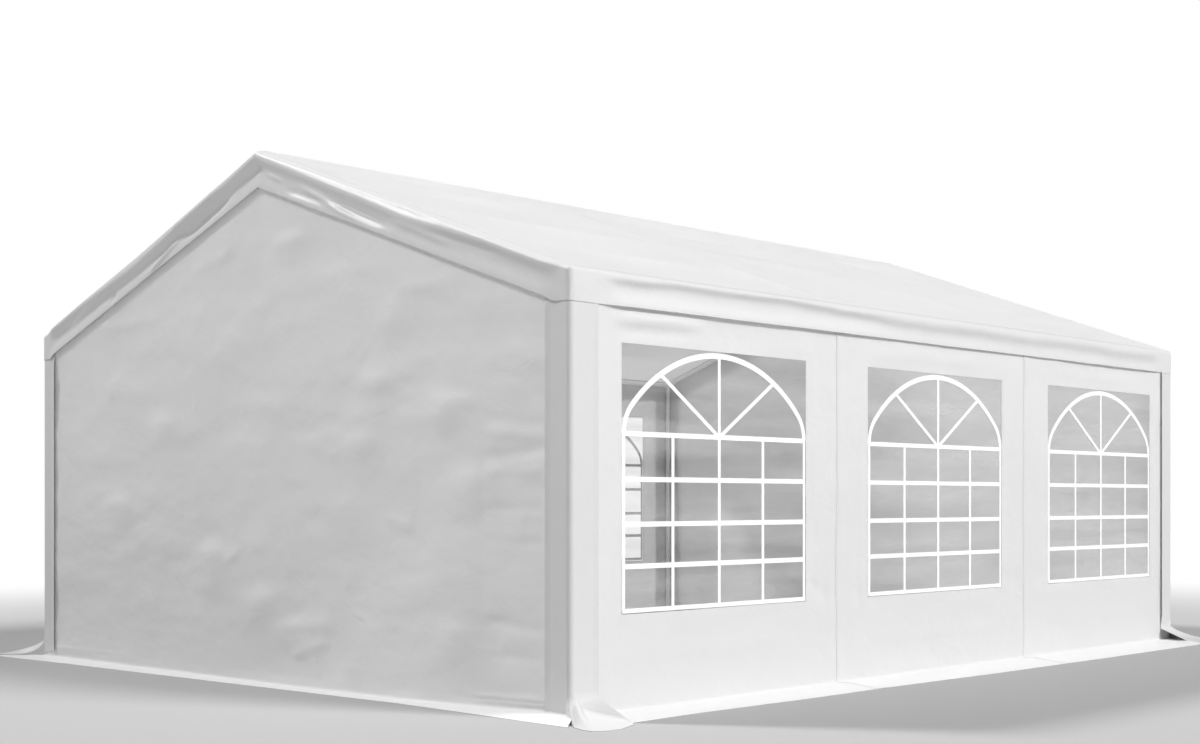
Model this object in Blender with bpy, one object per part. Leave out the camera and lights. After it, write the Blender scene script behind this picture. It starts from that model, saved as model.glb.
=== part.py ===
"""Marquee tent on a steel tube frame: gable roof, closed walls, arched clear windows.

Metres, +Z up. The origin is on the ground under the middle of the tent.
+X runs along the ridge. The two gables face -X (front) and +X (rear), the window
walls face -Y (right) and +Y (left).
"""

import math

import bmesh
import bpy
from mathutils import Matrix, Vector

# Driving dimensions of the whole tent
BAY_LENGTH = 2.02
BAY_COUNT = 3
TENT_WIDTH = 5.0
RIDGE_HEIGHT = 2.997
ROOF_SLOPE = 0.354
EAVE_VALANCE_BOTTOM = 1.970
APEX_VALANCE_BOTTOM = 2.776

# Cloth and the gap that touching pieces keep
CLOTH = 0.003
FILM = 0.002
GAP = 0.0003

# Tube frame
TUBE_RADIUS = 0.019
SLEEVE_RADIUS = 0.0215
KNUCKLE_RADIUS = 0.023
SLEEVE_LENGTH = 0.10
STUB_LENGTH = 0.08
TUBE_SIDES = 16
FOOT_SIZE = 0.12
FOOT_THICKNESS = 0.005

# Windows, one in each side bay
WINDOW_PITCH = 2.0
WINDOW_WIDTH = 1.432
WINDOW_BOTTOM = 0.477
WINDOW_TOP = 1.780

# Strips that wrap the corner legs
STRIP_ON_GABLE = 0.165
STRIP_ON_SIDE = 0.190
CORNER_ARC_STEPS = 6

# Flaps that lie on the ground. The corner flap leans away from the gable: each pair is
# how far a corner of it stands out from the gable and from the side wall.
SIDE_FLAP_WIDTH = 0.28
GABLE_FLAP_WIDTH = 0.23
CORNER_FLAP_THICKNESS = 0.004
CORNER_FLAP_REACH = ((-0.135, 0.266), (0.100, 0.357), (0.173, 0.228))

# Worked out from the sizes above
SLOPE_COS = 1.0 / math.hypot(1.0, ROOF_SLOPE)
WALL_INNER = KNUCKLE_RADIUS + GAP
STRIP_INNER = WALL_INNER + CLOTH + GAP
COVER_INNER = STRIP_INNER + CLOTH + GAP
LEG_Y = TENT_WIDTH / 2 - WALL_INNER - CLOTH
FRAME_X = [BAY_LENGTH * (i - BAY_COUNT / 2) for i in range(BAY_COUNT + 1)]
END_X = FRAME_X[-1]
AXIS_DROP = (CLOTH + GAP + KNUCKLE_RADIUS) / SLOPE_COS
RIDGE_AXIS_Z = RIDGE_HEIGHT - AXIS_DROP
KNEE_Z = RIDGE_AXIS_Z - ROOF_SLOPE * LEG_Y
MID_Y = LEG_Y / 2
MID_Z = RIDGE_AXIS_Z - ROOF_SLOPE * MID_Y
SIDES = (("right", -1), ("left", 1))
ENDS = (("front", -1), ("rear", 1))


def start_scene():
    """Empty the file and make one collection for the parts and one for the cutters."""
    for old in list(bpy.data.objects):
        bpy.data.objects.remove(old, do_unlink=True)
    root = bpy.context.scene.collection
    parts = bpy.data.collections.new("marquee_tent")
    cutters = bpy.data.collections.new("cutters")
    root.children.link(parts)
    root.children.link(cutters)
    return parts, cutters


PARTS, CUTTERS = start_scene()


def make_material(name, color, roughness, metallic=0.0, alpha=1.0):
    """Principled material with one colour."""
    material = bpy.data.materials.new(name)
    material.use_nodes = True
    shader = material.node_tree.nodes["Principled BSDF"]
    shader.inputs["Base Color"].default_value = (*color, 1.0)
    shader.inputs["Roughness"].default_value = roughness
    shader.inputs["Metallic"].default_value = metallic
    shader.inputs["Alpha"].default_value = alpha
    material.diffuse_color = (*color, alpha)
    return material


STEEL = make_material("frame_steel", (0.72, 0.73, 0.75), 0.35, metallic=0.9)
COVER_CLOTH = make_material("cover_cloth", (0.90, 0.90, 0.91), 0.55)
WALL_CLOTH = make_material("wall_cloth", (0.86, 0.86, 0.87), 0.6)
CLEAR_FILM = make_material("clear_film", (0.80, 0.82, 0.84), 0.12, alpha=0.35)


def add_object(name, mesh, material, collection):
    """Link a mesh as a named object with its own copy of the material."""
    shape = bpy.data.objects.new(name, mesh)
    mesh.materials.clear()
    mesh.materials.append(material)
    collection.objects.link(shape)
    return shape


def make_cutter(shape, group):
    """Turn an object into a helper that another shape is cut or joined with."""
    for owner in list(shape.users_collection):
        owner.objects.unlink(shape)
    group.objects.link(shape)
    shape.hide_render = True
    shape.display_type = "WIRE"
    return shape


def box(name, low, high, material, collection=PARTS):
    """Box between two corners, in world places."""
    low = Vector(low)
    high = Vector(high)
    build = bmesh.new()
    bmesh.ops.create_cube(build, size=1.0)
    bmesh.ops.scale(build, vec=high - low, verts=build.verts)
    bmesh.ops.translate(build, vec=(high + low) / 2, verts=build.verts)
    mesh = bpy.data.meshes.new(name)
    build.to_mesh(mesh)
    build.free()
    return add_object(name, mesh, material, collection)


def tube(name, start, end, radius, material, collection=PARTS):
    """Closed round bar from start to end; hollow tubes are modelled solid."""
    start = Vector(start)
    end = Vector(end)
    build = bmesh.new()
    bmesh.ops.create_cone(build, cap_ends=True, segments=TUBE_SIDES,
                          radius1=radius, radius2=radius, depth=(end - start).length)
    turn = Vector((0, 0, 1)).rotation_difference(end - start).to_matrix().to_4x4()
    place = Matrix.Translation((start + end) / 2) @ turn
    bmesh.ops.transform(build, matrix=place, verts=build.verts)
    mesh = bpy.data.meshes.new(name)
    build.to_mesh(mesh)
    build.free()
    mesh.shade_smooth()
    mesh.set_sharp_from_angle(angle=math.radians(40))
    return add_object(name, mesh, material, collection)


def ball(name, centre, radius, material, collection=PARTS):
    """Round knuckle where the sleeves of a connector meet."""
    build = bmesh.new()
    bmesh.ops.create_uvsphere(build, u_segments=TUBE_SIDES, v_segments=TUBE_SIDES // 2, radius=radius)
    bmesh.ops.translate(build, vec=Vector(centre), verts=build.verts)
    mesh = bpy.data.meshes.new(name)
    build.to_mesh(mesh)
    build.free()
    return add_object(name, mesh, material, collection)


# Local X, Y and Z of a flat outline, as world directions
FACING_X = Matrix(((0, 0, 1, 0), (1, 0, 0, 0), (0, 1, 0, 0), (0, 0, 0, 1)))
FACING_Y = Matrix(((1, 0, 0, 0), (0, 0, -1, 0), (0, 1, 0, 0), (0, 0, 0, 1)))
FACING_Z = Matrix.Identity(4)


def outline_solid(name, rings, facing, middle, thickness, material, collection=PARTS):
    """Flat outline, with further rings as holes, given a thickness and made a mesh.

    The outline is drawn across the facing axis, and middle is its place on that axis.
    """
    curve = bpy.data.curves.new(name, "CURVE")
    curve.dimensions = "2D"
    curve.fill_mode = "BOTH"
    curve.extrude = thickness / 2
    for ring in rings:
        spline = curve.splines.new("POLY")
        spline.points.add(len(ring) - 1)
        for point, (u, v) in zip(spline.points, ring):
            point.co = (u, v, 0.0, 1.0)
        spline.use_cyclic_u = True
    sketch = bpy.data.objects.new(name, curve)
    collection.objects.link(sketch)
    axis = facing.to_3x3() @ Vector((0, 0, 1))
    sketch.matrix_world = Matrix.Translation(axis * (middle * sum(axis))) @ facing
    bpy.context.view_layer.update()
    evaluated = sketch.evaluated_get(bpy.context.evaluated_depsgraph_get())
    mesh = bpy.data.meshes.new_from_object(evaluated)
    mesh.transform(sketch.matrix_world)
    bpy.data.objects.remove(sketch, do_unlink=True)
    bpy.data.curves.remove(curve)
    build = bmesh.new()
    build.from_mesh(mesh)
    bmesh.ops.remove_doubles(build, verts=build.verts, dist=0.00005)
    bmesh.ops.recalc_face_normals(build, faces=build.faces)
    build.to_mesh(mesh)
    build.free()
    return add_object(name, mesh, material, collection)


def apply_boolean(shape, operation, helpers):
    """Cut or join a shape with a collection of helper shapes, in one live modifier."""
    group = bpy.data.collections.new(f"{shape.name}_{operation.lower()}")
    CUTTERS.children.link(group)
    for helper in helpers:
        make_cutter(helper, group)
    modifier = shape.modifiers.new(operation.lower(), "BOOLEAN")
    modifier.operation = operation
    modifier.solver = "EXACT"
    modifier.operand_type = "COLLECTION"
    modifier.collection = group
    return shape


def rectangle(left, bottom, right, top):
    """Corner points of an upright rectangle."""
    return [(left, bottom), (right, bottom), (right, top), (left, top)]


def gable_outline(half_width, bottom, ridge, eave=None):
    """House front: straight sides and two roof slopes that meet in the middle."""
    if eave is None:
        eave = ridge - ROOF_SLOPE * half_width
    return [(-half_width, bottom), (half_width, bottom), (half_width, eave),
            (0.0, ridge), (-half_width, eave)]


def build_leg(name, x, side, inward_x):
    """Leg tube with a square foot plate that points into the tent."""
    leg = tube(name, (x, side * LEG_Y, FOOT_THICKNESS / 2), (x, side * LEG_Y, KNEE_Z - STUB_LENGTH - GAP),
               TUBE_RADIUS, STEEL)
    inward = FOOT_SIZE / 2 - TUBE_RADIUS + CLOTH
    centre_x = x + inward_x * inward
    centre_y = side * (LEG_Y - inward)
    half = FOOT_SIZE / 2
    plate = box(name + "_plate", (centre_x - half, centre_y - half, 0.0),
                (centre_x + half, centre_y + half, FOOT_THICKNESS), STEEL)
    return apply_boolean(leg, "UNION", [plate])


def build_legs():
    """Four legs along each side."""
    for side_name, side in SIDES:
        for number, x in enumerate(FRAME_X, start=1):
            inward_x = {1: 1, len(FRAME_X): -1}.get(number, 0)
            build_leg(f"{side_name}_leg_{number}", x, side, inward_x)


def stub_span(x, reach):
    """Ends of the purlin stubs of a connector, which never point out of a gable."""
    low = x if x == FRAME_X[0] else x - reach
    high = x if x == FRAME_X[-1] else x + reach
    return low, high


def build_truss(number, x):
    """Two rafters with their knee, mid-slope and ridge connectors, welded to one piece."""
    name = f"truss_{number}"
    ridge = Vector((x, 0.0, RIDGE_AXIS_Z))
    knees = [Vector((x, side * LEG_Y, KNEE_Z)) for _, side in SIDES]
    mids = [Vector((x, side * MID_Y, MID_Z)) for _, side in SIDES]
    low, high = stub_span(x, STUB_LENGTH)
    truss = tube(name, knees[0], ridge, TUBE_RADIUS, STEEL)
    helpers = [tube(name + "_rafter", knees[1], ridge, TUBE_RADIUS, STEEL)]
    joints = [ridge, *mids, *knees]
    for index, joint in enumerate(joints):
        helpers.append(ball(f"{name}_knuckle_{index}", joint, KNUCKLE_RADIUS, STEEL))
        helpers.append(tube(f"{name}_stub_{index}", (low, joint.y, joint.z), (high, joint.y, joint.z),
                            SLEEVE_RADIUS, STEEL))
    for index, (knee, mid) in enumerate(zip(knees, mids)):
        up_slope = (ridge - knee).normalized()
        sleeves = [(knee, knee + up_slope * SLEEVE_LENGTH),
                   (mid - up_slope * SLEEVE_LENGTH, mid + up_slope * SLEEVE_LENGTH),
                   (ridge - up_slope * SLEEVE_LENGTH, ridge),
                   (knee, knee - Vector((0, 0, STUB_LENGTH)))]
        for part, (start, end) in enumerate(sleeves):
            helpers.append(tube(f"{name}_sleeve_{index}_{part}", start, end, SLEEVE_RADIUS, STEEL))
    return apply_boolean(truss, "UNION", helpers)


def build_purlins():
    """Tubes along the tent between neighbouring trusses, bay by bay."""
    lines = [("ridge_purlin", 0.0, RIDGE_AXIS_Z)]
    for side_name, side in SIDES:
        lines.append((f"{side_name}_eave_purlin", side * LEG_Y, KNEE_Z))
        lines.append((f"{side_name}_mid_purlin", side * MID_Y, MID_Z))
    for line_name, y, z in lines:
        for bay in range(BAY_COUNT):
            start = FRAME_X[bay] + STUB_LENGTH + GAP
            end = FRAME_X[bay + 1] - STUB_LENGTH - GAP
            tube(f"{line_name}_{bay + 1}", (start, y, z), (end, y, z), TUBE_RADIUS, STEEL)


def build_roof_cover():
    """One cover over both slopes, with a valance hanging down all round."""
    outer = COVER_INNER + CLOTH
    half_length = END_X + outer
    half_width = LEG_Y + outer
    inner_ridge = RIDGE_HEIGHT - CLOTH / SLOPE_COS
    below = EAVE_VALANCE_BOTTOM - 0.1
    knee_y = (APEX_VALANCE_BOTTOM - EAVE_VALANCE_BOTTOM) / ROOF_SLOPE
    cover = outline_solid("roof_cover", [gable_outline(half_width, EAVE_VALANCE_BOTTOM, RIDGE_HEIGHT)],
                          FACING_X, 0.0, 2 * half_length, COVER_CLOTH)
    hollow = outline_solid("cover_hollow", [gable_outline(half_width - CLOTH, below, inner_ridge)],
                           FACING_X, 0.0, 2 * (half_length - CLOTH), COVER_CLOTH)
    gable_cut = outline_solid("cover_gable_cut",
                              [gable_outline(knee_y, below, APEX_VALANCE_BOTTOM, EAVE_VALANCE_BOTTOM)],
                              FACING_X, 0.0, 2 * half_length + 0.2, COVER_CLOTH)
    return apply_boolean(cover, "DIFFERENCE", [hollow, gable_cut])


def build_gable_walls():
    """Plain closed wall under each gable, up to the rafters and out to the corner legs."""
    middle = END_X + WALL_INNER + CLOTH / 2
    for end_name, end in ENDS:
        outline_solid(f"{end_name}_gable_wall", [gable_outline(LEG_Y, CLOTH + GAP, RIDGE_AXIS_Z)],
                      FACING_X, end * middle, CLOTH, WALL_CLOTH)


def build_side_walls():
    """Wall panels with the window cut through, and a sheet of clear film in each window."""
    middle = TENT_WIDTH / 2 - CLOTH / 2
    for side_name, side in SIDES:
        for bay in range(BAY_COUNT):
            low = FRAME_X[bay] + GAP / 2
            high = FRAME_X[bay + 1] - GAP / 2
            centre = WINDOW_PITCH * (bay - (BAY_COUNT - 1) / 2)
            left = centre - WINDOW_WIDTH / 2
            right = centre + WINDOW_WIDTH / 2
            panel = rectangle(low, CLOTH + GAP, high, KNEE_Z)
            opening = rectangle(left, WINDOW_BOTTOM, right, WINDOW_TOP)
            film = rectangle(left + GAP, WINDOW_BOTTOM + GAP, right - GAP, WINDOW_TOP - GAP)
            outline_solid(f"{side_name}_wall_{bay + 1}", [panel, opening], FACING_Y, side * middle,
                          CLOTH, WALL_CLOTH)
            outline_solid(f"{side_name}_window_{bay + 1}", [film], FACING_Y, side * middle,
                          FILM, CLEAR_FILM)


def corner_outline(end, side):
    """Strip that wraps a corner leg: straight on the gable, round the leg, straight on the side."""
    outer = STRIP_INNER + CLOTH
    gable_edge = LEG_Y + outer - STRIP_ON_GABLE
    side_edge = END_X + outer - STRIP_ON_SIDE
    turns = [math.radians(90.0 * step / CORNER_ARC_STEPS) for step in range(CORNER_ARC_STEPS + 1)]
    ring = [(END_X + outer, gable_edge)]
    ring += [(END_X + outer * math.cos(a), LEG_Y + outer * math.sin(a)) for a in turns]
    ring += [(side_edge, LEG_Y + outer), (side_edge, LEG_Y + STRIP_INNER)]
    ring += [(END_X + STRIP_INNER * math.cos(a), LEG_Y + STRIP_INNER * math.sin(a)) for a in reversed(turns)]
    ring += [(END_X + STRIP_INNER, gable_edge)]
    return [(end * x, side * y) for x, y in ring]


def corner_flap_outline(end, side):
    """Flap on the ground at the foot of a corner strip, spreading outwards from the strip."""
    gable_face = END_X + STRIP_INNER + CLOTH
    side_face = LEG_Y + STRIP_INNER
    ring = [(gable_face, side_face), (gable_face - STRIP_ON_SIDE, side_face)]
    ring += [(gable_face + out_x, side_face + out_y) for out_x, out_y in CORNER_FLAP_REACH]
    return [(end * x, side * y) for x, y in ring]


def build_corner_strips():
    """Upright strips round the four corner legs, each running out in a flap on the ground."""
    bottom = CLOTH + GAP
    top = KNEE_Z - TUBE_RADIUS
    for end_name, end in ENDS:
        for side_name, side in SIDES:
            strip = outline_solid(f"{end_name}_{side_name}_corner_strip", [corner_outline(end, side)],
                                  FACING_Z, (bottom + top) / 2, top - bottom, WALL_CLOTH)
            flap = outline_solid(strip.name + "_flap", [corner_flap_outline(end, side)], FACING_Z,
                                 CORNER_FLAP_THICKNESS / 2, CORNER_FLAP_THICKNESS, WALL_CLOTH)
            apply_boolean(strip, "UNION", [flap])


def build_ground_flaps():
    """Flaps that lie outwards on the ground along the four walls."""
    side_half = END_X + STRIP_INNER + CLOTH - STRIP_ON_SIDE - GAP
    inner_y = TENT_WIDTH / 2 - CLOTH
    for side_name, side in SIDES:
        ys = sorted((side * inner_y, side * (TENT_WIDTH / 2 + SIDE_FLAP_WIDTH)))
        box(f"{side_name}_ground_flap", (-side_half, ys[0], 0.0), (side_half, ys[1], CLOTH), WALL_CLOTH)
    gable_half = LEG_Y + STRIP_INNER - GAP
    inner_x = END_X + WALL_INNER
    for end_name, end in ENDS:
        xs = sorted((end * inner_x, end * (inner_x + CLOTH + GABLE_FLAP_WIDTH)))
        box(f"{end_name}_ground_flap", (xs[0], -gable_half, 0.0), (xs[1], gable_half, CLOTH), WALL_CLOTH)


def build_tent():
    """Frame first, then the cloth that hangs on it."""
    build_legs()
    for number, x in enumerate(FRAME_X, start=1):
        build_truss(number, x)
    build_purlins()
    build_roof_cover()
    build_gable_walls()
    build_side_walls()
    build_corner_strips()
    build_ground_flaps()


build_tent()
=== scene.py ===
import math

import bpy
import numpy as np
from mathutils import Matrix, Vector


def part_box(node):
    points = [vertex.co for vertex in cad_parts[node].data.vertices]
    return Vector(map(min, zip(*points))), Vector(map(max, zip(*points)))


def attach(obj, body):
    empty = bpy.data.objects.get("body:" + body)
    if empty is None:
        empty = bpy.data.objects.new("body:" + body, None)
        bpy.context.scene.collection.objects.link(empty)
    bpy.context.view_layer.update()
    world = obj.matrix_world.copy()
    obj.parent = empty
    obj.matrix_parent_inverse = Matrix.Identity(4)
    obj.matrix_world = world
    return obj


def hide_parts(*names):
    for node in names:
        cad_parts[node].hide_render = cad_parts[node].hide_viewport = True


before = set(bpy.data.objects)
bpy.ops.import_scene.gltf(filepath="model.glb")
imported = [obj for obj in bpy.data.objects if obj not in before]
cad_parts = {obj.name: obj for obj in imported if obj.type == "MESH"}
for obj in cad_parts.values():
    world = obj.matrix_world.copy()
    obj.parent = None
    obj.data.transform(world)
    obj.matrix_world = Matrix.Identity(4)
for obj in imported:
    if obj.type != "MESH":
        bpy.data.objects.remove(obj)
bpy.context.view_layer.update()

# Measures of the tent, read from the tube frame and the plain cloth solids


def middle(node):
    """Middle of a CAD node's box."""
    low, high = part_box(node)
    return (low + high) / 2


RIDGE_AXIS_Z = middle("ridge_purlin_2").z
LEG_Y = middle("left_eave_purlin_2").y
KNEE_Z = middle("left_eave_purlin_2").z
MID_Y = middle("left_mid_purlin_2").y
ROOF_SLOPE = (RIDGE_AXIS_Z - KNEE_Z) / LEG_Y
SLOPE_STRETCH = math.hypot(1.0, ROOF_SLOPE)
BAYS = 3
BAY = middle("truss_3").x - middle("truss_2").x
FRAME_X = [BAY * (number - BAYS / 2) for number in range(BAYS + 1)]
END_X = FRAME_X[-1]
TUBE_RADIUS = (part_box("left_eave_purlin_2")[1].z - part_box("left_eave_purlin_2")[0].z) / 2
GABLE_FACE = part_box("rear_gable_wall")[1].x
SIDE_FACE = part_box("left_wall_2")[1].y
COVER_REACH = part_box("roof_cover")[1].y - LEG_Y
WINDOWS = [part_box(f"left_window_{number}") for number in range(1, BAYS + 1)]
WINDOW_HALF = (WINDOWS[0][1].x - WINDOWS[0][0].x) / 2
WINDOW_BOTTOM = WINDOWS[0][0].z
WINDOW_TOP = WINDOWS[0][1].z
WINDOW_CENTRES = sorted((low.x + high.x) / 2 for low, high in WINDOWS)

# Thickness of a cloth sheet, and the clear space it keeps from the floor or from what it hides
CLOTH = 0.002
CLEARANCE = 0.0006

# Which way each wall lies, and the seed of its random lumps
SIGNS = {"front": -1, "rear": 1, "right": -1, "left": 1}
SEEDS = {"front": 41, "rear": 61, "right": 71, "left": 91}

# Camera at the photograph's viewpoint: metres, degrees, and millimetres of lens and film
CAMERA_PLACE = (-8.498, -8.107, 1.0225)
CAMERA_TURN = -47.75
CAMERA_LENS = 50.538
CAMERA_FILM = 36.0
CAMERA_SHIFT = (-0.0638, 0.1073)
CAMERA_REACH = 400.0


def add_object(name, data):
    """New object in the scene."""
    added = bpy.data.objects.new(name, data)
    bpy.context.scene.collection.objects.link(added)
    return added


def add_camera():
    """Level camera beside the near corner, shifted up as the photograph is framed."""
    lens = bpy.data.cameras.new("photo_camera")
    lens.lens = CAMERA_LENS
    lens.sensor_width = CAMERA_FILM
    lens.shift_x, lens.shift_y = CAMERA_SHIFT
    lens.clip_end = CAMERA_REACH
    camera = add_object("photo_camera", lens)
    camera.location = CAMERA_PLACE
    camera.rotation_euler = (math.radians(90.0), 0.0, math.radians(CAMERA_TURN))
    bpy.context.scene.camera = camera


add_camera()


# Node helpers, for materials and for geometry trees alike


def add_node(tree, kind, sockets=None, **settings):
    """Add a node, set its properties, and feed its inputs with values or other outputs."""
    added = tree.nodes.new(kind)
    for key, value in settings.items():
        setattr(added, key, value)
    for key, value in (sockets or {}).items():
        if isinstance(value, bpy.types.NodeSocket):
            tree.links.new(value, added.inputs[key])
        else:
            added.inputs[key].default_value = value
    return added


def math_node(tree, operation, first, second=0.0):
    """One arithmetic step on values or outputs."""
    return add_node(tree, "ShaderNodeMath", {0: first, 1: second}, operation=operation).outputs[0]


def new_material(name):
    """Empty node material; returns it with its tree."""
    material = bpy.data.materials.new(name)
    material.use_nodes = True
    material.node_tree.nodes.clear()
    return material, material.node_tree


def finish_material(tree, shader):
    """Feed the surface of a material."""
    add_node(tree, "ShaderNodeOutputMaterial", {"Surface": shader})


def noise_node(tree, place, scale, detail=2.0, roughness=0.5, distortion=0.0):
    """Cloudy noise between 0 and 1."""
    sockets = {"Vector": place, "Scale": scale, "Detail": detail,
               "Roughness": roughness, "Distortion": distortion}
    return add_node(tree, "ShaderNodeTexNoise", sockets).outputs[0]


def bump_node(tree, height, distance, strength=1.0, under=None):
    """Fine relief, on top of another one where that is given."""
    sockets = {"Height": height, "Distance": distance, "Strength": strength}
    if under is not None:
        sockets["Normal"] = under
    return add_node(tree, "ShaderNodeBump", sockets).outputs[0]


def range_node(tree, value, low, high, start=0.0, end=1.0, **settings):
    """Value that runs from low to high while the one given runs from start to end."""
    sockets = {0: value, 1: start, 2: end, 3: low, 4: high}
    return add_node(tree, "ShaderNodeMapRange", sockets, **settings).outputs[0]


def mix_node(tree, share, first, second):
    """Two shaders mixed, the second one counting for the share given."""
    return add_node(tree, "ShaderNodeMixShader", {0: share, 1: first, 2: second}).outputs[0]


def stretched(tree, place, scale):
    """Pattern place, drawn out or squeezed along each axis."""
    return add_node(tree, "ShaderNodeMapping", {"Vector": place, "Scale": scale}).outputs[0]


def tint(tree, factor, low, high):
    """Colour that runs from low to high with a factor from 0 to 1."""
    ramp = add_node(tree, "ShaderNodeValToRGB", {0: factor})
    ramp.color_ramp.elements[0].color = (*low, 1.0)
    ramp.color_ramp.elements[1].color = (*high, 1.0)
    return ramp.outputs[0]


def blend_values(tree, first, second, share):
    """Two values mixed, the second one counting for the share given."""
    kept = math_node(tree, "MULTIPLY", first, 1.0 - share)
    return math_node(tree, "ADD", kept, math_node(tree, "MULTIPLY", second, share))


# Materials

# Metres from rib to rib of the scrim
SCRIM_PITCH = 0.004

# How far the roughness of a finish strays below and above its average
CLOTH_STRAY = (0.06, 0.06)
PLAIN_STRAY = (0.05, 0.08)


def grey(level):
    """Neutral colour."""
    return level, level, level


def flat_place(tree):
    """Place on the flat cloth, in metres."""
    return add_node(tree, "ShaderNodeUVMap", uv_map="flat").outputs[0]


def solid_place(tree):
    """Place in the tent, in metres."""
    return add_node(tree, "ShaderNodeTexCoord").outputs["Object"]


def rough_node(tree, clouds, average, stray):
    """Roughness that strays with the clouds."""
    below, above = stray
    return range_node(tree, clouds, average - below, average + above)


def scrim_height(tree, place):
    """Woven scrim that shows through coated cloth: two crossed sets of fine ribs."""
    split = add_node(tree, "ShaderNodeSeparateXYZ", {0: place})
    turns = 2 * math.pi / SCRIM_PITCH
    warp = math_node(tree, "SINE", math_node(tree, "MULTIPLY", split.outputs[0], turns))
    weft = math_node(tree, "SINE", math_node(tree, "MULTIPLY", split.outputs[1], turns))
    return math_node(tree, "MULTIPLY", warp, weft)


def cloth_material(name, dark, light, roughness, see_through, crumple):
    """White coated cloth: scrim, fine grain, soft crumples and a glow of light from behind."""
    material, tree = new_material(name)
    place = flat_place(tree)
    clouds = noise_node(tree, place, scale=1.3, detail=4.0)
    specks = noise_node(tree, place, scale=160.0, detail=1.0)
    creases = noise_node(tree, place, scale=6.0, detail=5.0, roughness=0.55, distortion=0.6)
    weave = blend_values(tree, specks, scrim_height(tree, place), share=0.3)
    colour = tint(tree, blend_values(tree, clouds, specks, share=0.5), dark, light)
    relief = bump_node(tree, weave, distance=0.0004, strength=0.7, under=bump_node(tree, creases, crumple))
    face = add_node(tree, "ShaderNodeBsdfPrincipled",
                    {"Base Color": colour, "Normal": relief, "Specular IOR Level": 0.3,
                     "Roughness": rough_node(tree, clouds, roughness, CLOTH_STRAY)})
    glow = add_node(tree, "ShaderNodeBsdfTranslucent", {"Color": colour, "Normal": relief})
    finish_material(tree, mix_node(tree, see_through, face.outputs[0], glow.outputs[0]))
    return material


def film_material():
    """Clear window film: see-through, a little milky in streaks, glossy, with soft ripples; the extra
    milkiness towards the right is painted reflection.
    """
    material, tree = new_material("clear_film")
    place = flat_place(tree)
    ripple = noise_node(tree, stretched(tree, place, (2.0, 7.0, 1.0)), 1.0, detail=3.0, distortion=0.8)
    haze = noise_node(tree, stretched(tree, place, (0.6, 6.0, 1.0)), 1.0, detail=4.0)
    skin = add_node(tree, "ShaderNodeBsdfPrincipled",
                    {"Base Color": (0.85, 0.85, 0.86, 1.0), "Roughness": 0.14,
                     "Normal": bump_node(tree, ripple, distance=0.006)})
    clear = add_node(tree, "ShaderNodeBsdfTransparent", {"Color": (*grey(0.985), 1.0)})
    along = add_node(tree, "ShaderNodeSeparateXYZ", {0: place}).outputs[0]
    # Film turns milkier towards the right as seen from outside, from 1.3 m left of the middle on: painted
    # reflection of the bright sky on the far windows, seen at a glancing angle.
    painted_glare = range_node(tree, along, low=0.0, high=0.16, start=-1.3, end=0.0)
    streaks = range_node(tree, haze, low=0.02, high=0.15, start=0.35, end=0.65)
    share = math_node(tree, "ADD", painted_glare, streaks)
    finish_material(tree, mix_node(tree, share, clear.outputs[0], skin.outputs[0]))
    return material


def plain_material(name, dark, light, roughness, metallic=0.0, scale=14.0):
    """Opaque finish with faint clouds and a fine grain, for bars, thread, cord and eyelets."""
    material, tree = new_material(name)
    place = solid_place(tree)
    clouds = noise_node(tree, place, scale, detail=3.0)
    grain = noise_node(tree, place, scale * 20.0)
    face = add_node(tree, "ShaderNodeBsdfPrincipled",
                    {"Base Color": tint(tree, clouds, dark, light), "Metallic": metallic,
                     "Roughness": rough_node(tree, clouds, roughness, PLAIN_STRAY),
                     "Normal": bump_node(tree, grain, distance=0.0003, strength=0.5)})
    finish_material(tree, face.outputs[0])
    return material


def steel_material():
    """Very pale galvanised tube, with a fine spangle and a few duller patches."""
    material, tree = new_material("frame_steel")
    place = solid_place(tree)
    spangle = add_node(tree, "ShaderNodeTexVoronoi", {"Vector": place, "Scale": 140.0}).outputs["Color"]
    flecks = add_node(tree, "ShaderNodeRGBToBW", {0: spangle}).outputs[0]
    dull = noise_node(tree, place, scale=7.0, detail=6.0)
    mixed = blend_values(tree, flecks, dull, share=0.7)
    face = add_node(tree, "ShaderNodeBsdfPrincipled",
                    {"Base Color": tint(tree, mixed, (0.88, 0.885, 0.89), grey(0.97)), "Metallic": 0.08,
                     "Roughness": range_node(tree, mixed, low=0.34, high=0.56),
                     "Normal": bump_node(tree, dull, distance=0.0006, strength=0.4)})
    finish_material(tree, face.outputs[0])
    return material


# Cloths: darkest and lightest tone, roughness, share of light let through, metres of crumple
COVER_CLOTH = cloth_material("cover_cloth", (0.94, 0.94, 0.945), grey(0.97), 0.40, 0.42, 0.007)
WALL_CLOTH = cloth_material("wall_cloth", grey(0.93), grey(0.98), 0.5, 0.47, 0.006)
VALANCE_CLOTH = cloth_material("valance_cloth", grey(0.71), grey(0.75), 0.40, 0.06, 0.007)
STRIP_CLOTH = cloth_material("strip_cloth", grey(0.67), grey(0.71), 0.5, 0.06, 0.005)
FLAP_CLOTH = cloth_material("flap_cloth", grey(0.90), grey(0.94), 0.5, 0.06, 0.006)

# The rest: darkest and lightest tone, roughness
CLEAR_FILM = film_material()
WINDOW_BAR = plain_material("window_bar", grey(0.93), grey(0.98), 0.40)
THREAD = plain_material("thread", grey(0.70), grey(0.82), 0.7, scale=60.0)
ELASTIC = plain_material("elastic_tie", grey(0.80), grey(0.92), 0.55, scale=60.0)
EYELET = plain_material("eyelet_metal", (0.62, 0.62, 0.63), (0.78, 0.78, 0.79), 0.28,
                        metallic=0.9, scale=80.0)
FRAME_STEEL = steel_material()


def finish_frame():
    """Galvanised finish on every tube of the frame."""
    for name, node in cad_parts.items():
        if "leg" in name or "truss" in name or "purlin" in name:
            node.data.materials.clear()
            node.data.materials.append(FRAME_STEEL)


finish_frame()


# Cloth helpers

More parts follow.
